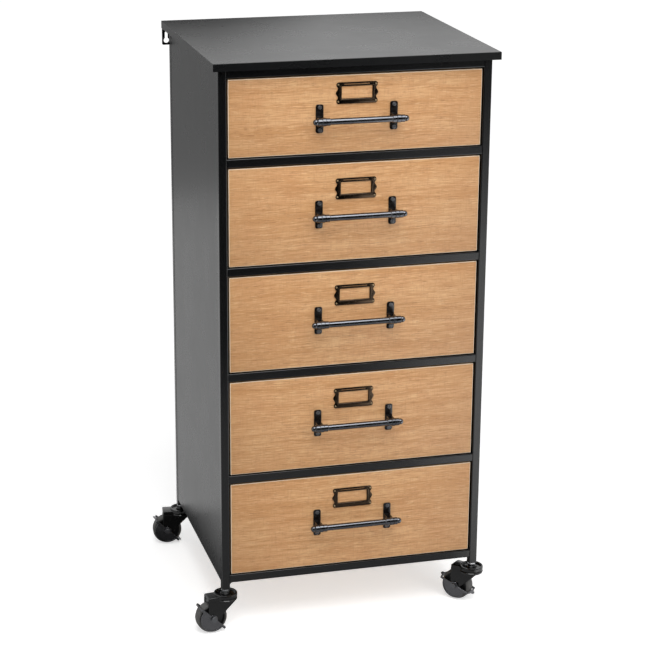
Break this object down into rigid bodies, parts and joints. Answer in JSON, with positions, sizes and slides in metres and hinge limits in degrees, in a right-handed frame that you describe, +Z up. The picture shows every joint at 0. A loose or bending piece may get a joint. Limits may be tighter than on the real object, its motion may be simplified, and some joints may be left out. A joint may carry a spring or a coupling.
{
  "type": "chest of drawers",
  "caption": "Slim floor-standing chest of drawers: black steel frame, wooden fronts with bar handles and label holders, braked swivel casters, wall keyholes.",
  "frame": {"origin": "on the floor, under the middle of the bounding box: centred left to right, midway between the handles' front and the top's rear edge", "axes": "+Z up, -Y is the drawer side, +X to the right of someone facing the drawers"},
  "size_m": [0.5176, 0.4174, 0.922],
  "materials": {
    "frame_steel": "satin black powder coat",
    "panel_steel": "satin black powder coat",
    "front_wood": "brushed light brown wood, matt",
    "box_wood": "plain sanded wood",
    "handle_metal": "satin black",
    "label_bronze": "dark bronze",
    "zinc_plate": "zinc plated",
    "caster_metal": "gloss black",
    "caster_plastic": "black moulded"
  },
  "bodies": {
    "carcass": {"top_panel": "panel_steel", "left_side_panel": "panel_steel", "right_side_panel": "panel_steel", "back_panel": "panel_steel", "front_left_post": "frame_steel", "front_right_post": "frame_steel", "rear_left_post": "frame_steel", "rear_right_post": "frame_steel", "front_top_rail": "frame_steel", "divider_rails": "frame_steel", "front_bottom_rail": "frame_steel", "left_side_rails": "frame_steel", "right_side_rails": "frame_steel", "rear_rails": "frame_steel", "left_drawer_runners": "frame_steel", "right_drawer_runners": "frame_steel", "wall_lugs": "frame_steel", "caster_sockets": "zinc_plate", "caster_stems": "zinc_plate"},
    "drawer_1": {"drawer_1_front": "front_wood", "drawer_1_box": "box_wood", "drawer_1_handle": "handle_metal", "drawer_1_label_holder": "label_bronze", "drawer_1_fasteners": "handle_metal"},
    "drawer_2": {"drawer_2_front": "front_wood", "drawer_2_box": "box_wood", "drawer_2_handle": "handle_metal", "drawer_2_label_holder": "label_bronze", "drawer_2_fasteners": "handle_metal"},
    "drawer_3": {"drawer_3_front": "front_wood", "drawer_3_box": "box_wood", "drawer_3_handle": "handle_metal", "drawer_3_label_holder": "label_bronze", "drawer_3_fasteners": "handle_metal"},
    "drawer_4": {"drawer_4_front": "front_wood", "drawer_4_box": "box_wood", "drawer_4_handle": "handle_metal", "drawer_4_label_holder": "label_bronze", "drawer_4_fasteners": "handle_metal"},
    "drawer_5": {"drawer_5_front": "front_wood", "drawer_5_box": "box_wood", "drawer_5_handle": "handle_metal", "drawer_5_label_holder": "label_bronze", "drawer_5_fasteners": "handle_metal"},
    "caster_fl_swivel": {"caster_fl_fork": "caster_metal", "caster_fl_axle": "caster_metal"},
    "caster_fl_roller": {"caster_fl_wheel": "caster_plastic"},
    "caster_fl_lever": {"caster_fl_brake": "caster_metal"},
    "caster_fr_swivel": {"caster_fr_fork": "caster_metal", "caster_fr_axle": "caster_metal"},
    "caster_fr_roller": {"caster_fr_wheel": "caster_plastic"},
    "caster_fr_lever": {"caster_fr_brake": "caster_metal"},
    "caster_rl_swivel": {"caster_rl_fork": "caster_metal", "caster_rl_axle": "caster_metal"},
    "caster_rl_roller": {"caster_rl_wheel": "caster_plastic"},
    "caster_rl_lever": {"caster_rl_brake": "caster_metal"},
    "caster_rr_swivel": {"caster_rr_fork": "caster_metal", "caster_rr_axle": "caster_metal"},
    "caster_rr_roller": {"caster_rr_wheel": "caster_plastic"},
    "caster_rr_lever": {"caster_rr_brake": "caster_metal"}
  },
  "joints": [
    {"name": "drawer_1_slide", "type": "slide", "parent": "carcass", "child": "drawer_1", "axis": [0, -1, 0], "range_m": [0, 0.26]},
    {"name": "drawer_2_slide", "type": "slide", "parent": "carcass", "child": "drawer_2", "axis": [0, -1, 0], "range_m": [0, 0.26]},
    {"name": "drawer_3_slide", "type": "slide", "parent": "carcass", "child": "drawer_3", "axis": [0, -1, 0], "range_m": [0, 0.26]},
    {"name": "drawer_4_slide", "type": "slide", "parent": "carcass", "child": "drawer_4", "axis": [0, -1, 0], "range_m": [0, 0.26]},
    {"name": "drawer_5_slide", "type": "slide", "parent": "carcass", "child": "drawer_5", "axis": [0, -1, 0], "range_m": [0, 0.26]},
    {"name": "front_left_swivel", "type": "hinge", "parent": "carcass", "child": "caster_fl_swivel", "pos_m": [-0.2085, -0.1718, 0.07], "axis": [0, 0, 1], "continuous": true},
    {"name": "front_left_roll", "type": "hinge", "parent": "caster_fl_swivel", "child": "caster_fl_roller", "pos_m": [-0.23331, -0.17485, 0.025], "axis": [0.1219, -0.9925, 0], "continuous": true},
    {"name": "front_left_brake", "type": "hinge", "parent": "caster_fl_swivel", "child": "caster_fl_lever", "pos_m": [-0.23331, -0.17485, 0.025], "axis": [0.1219, -0.9925, 0], "range_deg": [0, 24]},
    {"name": "front_right_swivel", "type": "hinge", "parent": "carcass", "child": "caster_fr_swivel", "pos_m": [0.2085, -0.1718, 0.07], "axis": [0, 0, 1], "continuous": true},
    {"name": "front_right_roll", "type": "hinge", "parent": "caster_fr_swivel", "child": "caster_fr_roller", "pos_m": [0.19177, -0.15322, 0.025], "axis": [-0.7431, -0.6691, 0], "continuous": true},
    {"name": "front_right_brake", "type": "hinge", "parent": "caster_fr_swivel", "child": "caster_fr_lever", "pos_m": [0.19177, -0.15322, 0.025], "axis": [-0.7431, -0.6691, 0], "range_deg": [-24, 0]},
    {"name": "rear_left_swivel", "type": "hinge", "parent": "carcass", "child": "caster_rl_swivel", "pos_m": [-0.2085, 0.1882, 0.07], "axis": [0, 0, 1], "continuous": true},
    {"name": "rear_left_roll", "type": "hinge", "parent": "caster_rl_swivel", "child": "caster_rl_roller", "pos_m": [-0.23331, 0.19125, 0.025], "axis": [-0.1219, -0.9925, 0], "continuous": true},
    {"name": "rear_left_brake", "type": "hinge", "parent": "caster_rl_swivel", "child": "caster_rl_lever", "pos_m": [-0.23331, 0.19125, 0.025], "axis": [-0.1219, -0.9925, 0], "range_deg": [0, 24]},
    {"name": "rear_right_swivel", "type": "hinge", "parent": "carcass", "child": "caster_rr_swivel", "pos_m": [0.2085, 0.1882, 0.07], "axis": [0, 0, 1], "continuous": true},
    {"name": "rear_right_roll", "type": "hinge", "parent": "caster_rr_swivel", "child": "caster_rr_roller", "pos_m": [0.23331, 0.18515, 0.025], "axis": [0.1219, 0.9925, 0], "continuous": true},
    {"name": "rear_right_brake", "type": "hinge", "parent": "caster_rr_swivel", "child": "caster_rr_lever", "pos_m": [0.23331, 0.18515, 0.025], "axis": [0.1219, 0.9925, 0], "range_deg": [0, 24]}
  ]
}
